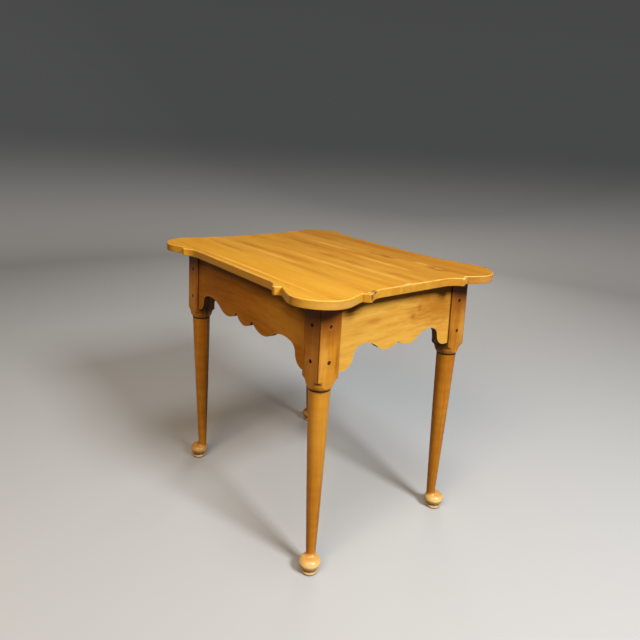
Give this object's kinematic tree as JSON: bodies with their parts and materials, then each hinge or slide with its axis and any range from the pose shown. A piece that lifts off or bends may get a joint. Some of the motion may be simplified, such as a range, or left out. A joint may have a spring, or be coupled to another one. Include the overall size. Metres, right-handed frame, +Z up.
{
  "type": "tavern table",
  "caption": "Small splay-legged tavern table with a porringer-cornered board top, scalloped aprons pegged into square posts, and turned tapering legs on pad feet.",
  "frame": {"origin": "centre of the table's plan, at floor level", "axes": "+X along the long side to the right, +Y from the front long side to the back, +Z up"},
  "size_m": [0.7372, 0.5882, 0.686],
  "materials": {
    "top_wood": "honey maple boards under satin varnish",
    "leg_wood": "turned honey maple under satin varnish",
    "apron_wood": "honey maple boards under satin varnish",
    "peg_wood": "dark stained hardwood pegs under satin varnish",
    "button_wood": "plain planed hardwood, unvarnished",
    "screw_steel": "dull plain steel"
  },
  "bodies": {
    "root": {"apron_back": "apron_wood", "apron_front": "apron_wood", "apron_left": "apron_wood", "apron_right": "apron_wood", "button_back_left": "button_wood", "button_back_right": "button_wood", "button_front_left": "button_wood", "button_front_right": "button_wood", "button_left_back": "button_wood", "button_left_front": "button_wood", "button_right_back": "button_wood", "button_right_front": "button_wood", "leg_back_left": "leg_wood", "leg_back_right": "leg_wood", "leg_front_left": "leg_wood", "leg_front_right": "leg_wood", "peg_back_left_lower": "peg_wood", "peg_back_left_upper": "peg_wood", "peg_back_right_lower": "peg_wood", "peg_back_right_upper": "peg_wood", "peg_front_left_lower": "peg_wood", "peg_front_left_upper": "peg_wood", "peg_front_right_lower": "peg_wood", "peg_front_right_upper": "peg_wood", "peg_left_back_lower": "peg_wood", "peg_left_back_upper": "peg_wood", "peg_left_front_lower": "peg_wood", "peg_left_front_upper": "peg_wood", "peg_right_back_lower": "peg_wood", "peg_right_back_upper": "peg_wood", "peg_right_front_lower": "peg_wood", "peg_right_front_upper": "peg_wood", "screw_back_left": "screw_steel", "screw_back_right": "screw_steel", "screw_front_left": "screw_steel", "screw_front_right": "screw_steel", "screw_left_back": "screw_steel", "screw_left_front": "screw_steel", "screw_right_back": "screw_steel", "screw_right_front": "screw_steel", "top_board_back": "top_wood", "top_board_fourth": "top_wood", "top_board_front": "top_wood", "top_board_middle": "top_wood", "top_board_second": "top_wood"}
  },
  "joints": []
}
